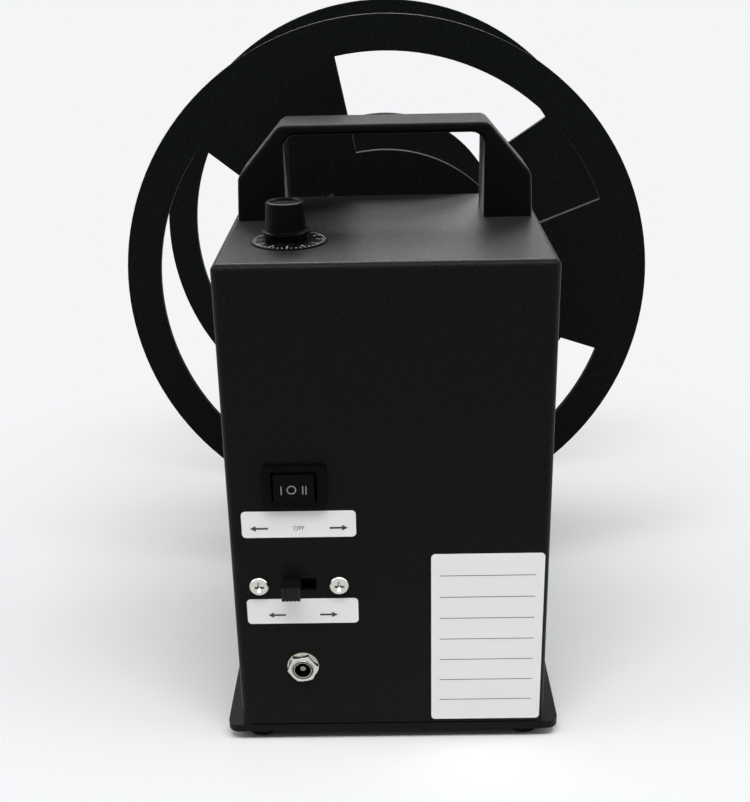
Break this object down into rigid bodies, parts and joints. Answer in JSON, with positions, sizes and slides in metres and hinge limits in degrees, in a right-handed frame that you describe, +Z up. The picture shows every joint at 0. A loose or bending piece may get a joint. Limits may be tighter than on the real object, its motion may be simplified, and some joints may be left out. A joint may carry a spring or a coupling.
{
  "type": "label rewinder",
  "caption": "Bench label rewinder: a black sheet-metal drive unit with carrying handle, speed dial and switches, turning a reel of windowed discs on a horizontal spindle.",
  "frame": {"origin": "on the standing surface, under the middle of the overall width and length", "axes": "+X right and +Y forward as seen from the control panel, so the reel is at +Y; +Z up"},
  "size_m": [0.21, 0.243, 0.2475],
  "materials": {
    "black_coat": "fine matt black powder coat",
    "black_plastic": "fine-grained black moulding",
    "rubber": "plain black rubber",
    "bright_nickel": "bright nickel plate",
    "zinc_steel": "bright zinc plate",
    "spindle_steel": "ground steel",
    "aluminium": "turned",
    "brass": "turned",
    "acetal": "natural acetal",
    "label_paper": "white coated paper",
    "circuit_board": "green solder mask",
    "board_parts": "dark moulded components"
  },
  "bodies": {
    "root": {"base_plate": "black_coat", "rubber_feet": "rubber", "foot_screws": "zinc_steel", "base_screws": "zinc_steel", "rear_cover": "black_coat", "side_screws": "black_coat", "front_plate": "black_coat", "carry_handle": "black_plastic", "handle_screws": "zinc_steel", "bearing_housings": "aluminium", "housing_screws": "zinc_steel", "spindle_bearings": "spindle_steel", "inner_plate": "zinc_steel", "plate_standoffs": "brass", "standoff_screws": "zinc_steel", "motor_gearhead": "zinc_steel", "motor_can": "zinc_steel", "motor_screws": "zinc_steel", "control_board": "circuit_board", "board_components": "board_parts", "board_screws": "zinc_steel", "speed_potentiometer": "zinc_steel", "potentiometer_nut": "bright_nickel", "dial_scale": "black_plastic", "rocker_housing": "black_plastic", "slide_switch_body": "zinc_steel", "slide_switch_screws": "bright_nickel", "power_jack": "bright_nickel", "power_jack_nut": "bright_nickel", "panel_labels": "label_paper", "arm_bush": "brass", "slot_sensor": "black_plastic"},
    "spindle": {"spindle_shaft": "spindle_steel", "drive_gear": "acetal", "inner_disc": "black_coat", "disc_lock_nut": "zinc_steel"},
    "outer_flange": {"outer_disc": "black_coat", "lock_collar": "aluminium", "collar_screws": "zinc_steel"},
    "lock_screw": {"lock_screw": "black_plastic"},
    "motor_output": {"motor_shaft": "spindle_steel", "motor_pinion": "brass"},
    "speed_knob": {"speed_knob": "black_plastic", "potentiometer_shaft": "aluminium"},
    "rocker": {"rocker_paddle": "black_plastic"},
    "selector": {"selector_button": "black_plastic"},
    "tension_arm": {"arm_shaft": "spindle_steel", "tension_arm": "black_coat", "roller_pin": "spindle_steel", "sensor_flag": "black_plastic"},
    "tension_roller": {"tension_roller": "aluminium"},
    "jaw_1": {"core_jaw_1": "black_coat", "jaw_bolt_1": "black_coat"},
    "thumb_nut_1": {"thumb_nut_1": "zinc_steel"},
    "jaw_2": {"core_jaw_2": "black_coat", "jaw_bolt_2": "black_coat"},
    "thumb_nut_2": {"thumb_nut_2": "zinc_steel"},
    "jaw_3": {"core_jaw_3": "black_coat", "jaw_bolt_3": "black_coat"},
    "thumb_nut_3": {"thumb_nut_3": "zinc_steel"}
  },
  "joints": [
    {"name": "spindle_spin", "type": "hinge", "parent": "root", "child": "spindle", "pos_m": [0, -0.0085, 0.1425], "axis": [0, 1, 0], "continuous": true},
    {"name": "motor_spin", "type": "hinge", "parent": "root", "child": "motor_output", "pos_m": [0.02065, -0.04, 0.11301], "axis": [0, 1, 0], "continuous": true},
    {"name": "flange_slide", "type": "slide", "parent": "spindle", "child": "outer_flange", "axis": [0, 1, 0], "range_m": [-0.06, 0.01]},
    {"name": "lock_turn", "type": "hinge", "parent": "outer_flange", "child": "lock_screw", "pos_m": [0, 0.1034, 0.1425], "axis": [0.2756, 0, 0.9613], "range_deg": [0, 360]},
    {"name": "speed_turn", "type": "hinge", "parent": "root", "child": "speed_knob", "pos_m": [-0.033, -0.0848, 0.1805], "axis": [0, 0, 1], "range_deg": [-150, 150]},
    {"name": "rocker_tilt", "type": "hinge", "parent": "root", "child": "rocker", "pos_m": [-0.0317, -0.1125, 0.1044], "axis": [0, 0, 1], "range_deg": [-9, 9]},
    {"name": "selector_slide", "type": "slide", "parent": "root", "child": "selector", "axis": [1, 0, 0], "range_m": [0, 0.005]},
    {"name": "arm_swing", "type": "hinge", "parent": "root", "child": "tension_arm", "pos_m": [-0.012, -0.016, 0.02], "axis": [0, 1, 0], "range_deg": [0, 28]},
    {"name": "roller_spin", "type": "hinge", "parent": "tension_arm", "child": "tension_roller", "pos_m": [-0.06, 0.03, 0.02], "axis": [0, 1, 0], "continuous": true},
    {"name": "jaw_slide_1", "type": "slide", "parent": "spindle", "child": "jaw_1", "axis": [0.9997, 0, 0.0262], "range_m": [-0.0175, 0.012]},
    {"name": "nut_turn_1", "type": "hinge", "parent": "jaw_1", "child": "thumb_nut_1", "pos_m": [0.03069, -0.0035, 0.1433], "axis": [0, 1, 0], "range_deg": [0, 360]},
    {"name": "jaw_slide_2", "type": "slide", "parent": "spindle", "child": "jaw_2", "axis": [-0.5225, 0, 0.8526], "range_m": [-0.0175, 0.012]},
    {"name": "nut_turn_2", "type": "hinge", "parent": "jaw_2", "child": "thumb_nut_2", "pos_m": [-0.01604, -0.0035, 0.16868], "axis": [0, 1, 0], "range_deg": [0, 360]},
    {"name": "jaw_slide_3", "type": "slide", "parent": "spindle", "child": "jaw_3", "axis": [-0.4772, 0, -0.8788], "range_m": [-0.0175, 0.012]},
    {"name": "nut_turn_3", "type": "hinge", "parent": "jaw_3", "child": "thumb_nut_3", "pos_m": [-0.01465, -0.0035, 0.11552], "axis": [0, 1, 0], "range_deg": [0, 360]}
  ],
  "couplings": [
    {"joint": "motor_spin", "follows": "spindle_spin", "ratio": -3}
  ]
}
